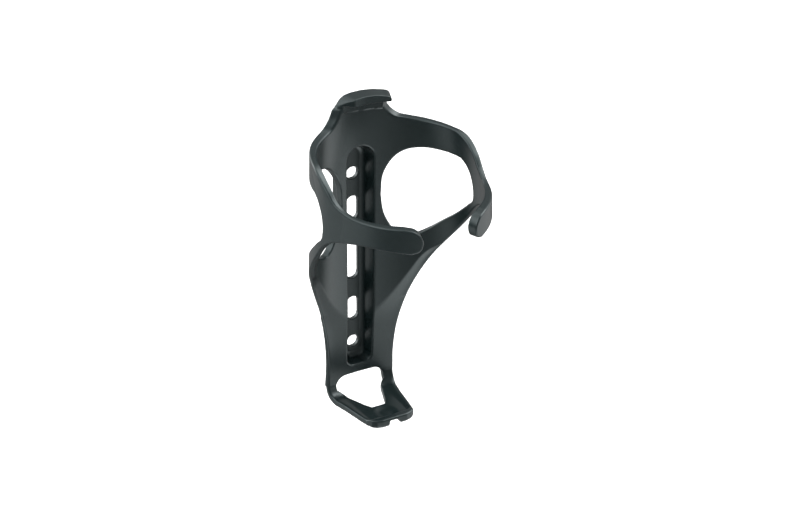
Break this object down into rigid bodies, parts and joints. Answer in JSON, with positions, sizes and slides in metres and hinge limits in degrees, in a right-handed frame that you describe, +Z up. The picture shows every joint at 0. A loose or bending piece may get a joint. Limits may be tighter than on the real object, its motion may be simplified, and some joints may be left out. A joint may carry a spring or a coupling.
{
  "type": "bicycle water bottle cage",
  "caption": "Moulded plastic bottle cage with two sprung wrap-round arms, a slotted spine channel, a neck tab and a toe under the bottle.",
  "frame": {"origin": "middle of the bolt slots, on the rear face that rests on the bicycle tube", "axes": "+Z up along the bottle, +Y towards the bicycle tube, +X to the right when looking at the bottle side"},
  "size_m": [0.0766, 0.0843, 0.1483],
  "materials": {
    "cage_plastic": "satin charcoal, fine moulded grain"
  },
  "bodies": {
    "cage_body": {"neck_tab": "cage_plastic", "upper_panel": "cage_plastic", "channel_dome": "cage_plastic", "channel_foot": "cage_plastic", "spine_floor": "cage_plastic", "bottom_bridge": "cage_plastic", "toe_web": "cage_plastic", "toe_lip": "cage_plastic", "left_channel_wall": "cage_plastic", "right_channel_wall": "cage_plastic", "left_side_rail": "cage_plastic", "right_side_rail": "cage_plastic", "left_lower_panel": "cage_plastic", "right_lower_panel": "cage_plastic", "left_waist": "cage_plastic", "right_waist": "cage_plastic", "left_toe_leg": "cage_plastic", "right_toe_leg": "cage_plastic", "left_toe_rim": "cage_plastic", "right_toe_rim": "cage_plastic"},
    "left_loop": {"left_upper_arm": "cage_plastic", "left_lower_strut": "cage_plastic", "left_arm_elbow": "cage_plastic", "left_arm_band": "cage_plastic", "left_arm_tip": "cage_plastic"},
    "right_loop": {"right_upper_arm": "cage_plastic", "right_lower_strut": "cage_plastic", "right_arm_elbow": "cage_plastic", "right_arm_band": "cage_plastic", "right_arm_tip": "cage_plastic"}
  },
  "joints": [
    {"name": "left_arm_flex", "type": "hinge", "parent": "cage_body", "child": "left_loop", "pos_m": [-0.02381, -0.01265, 0.03], "axis": [0, 0, -1], "range_deg": [0, 4], "stiffness_Nm_per_rad": 1},
    {"name": "right_arm_flex", "type": "hinge", "parent": "cage_body", "child": "right_loop", "pos_m": [0.02381, -0.01265, 0.03], "axis": [0, 0, 1], "range_deg": [0, 4], "stiffness_Nm_per_rad": 1}
  ]
}
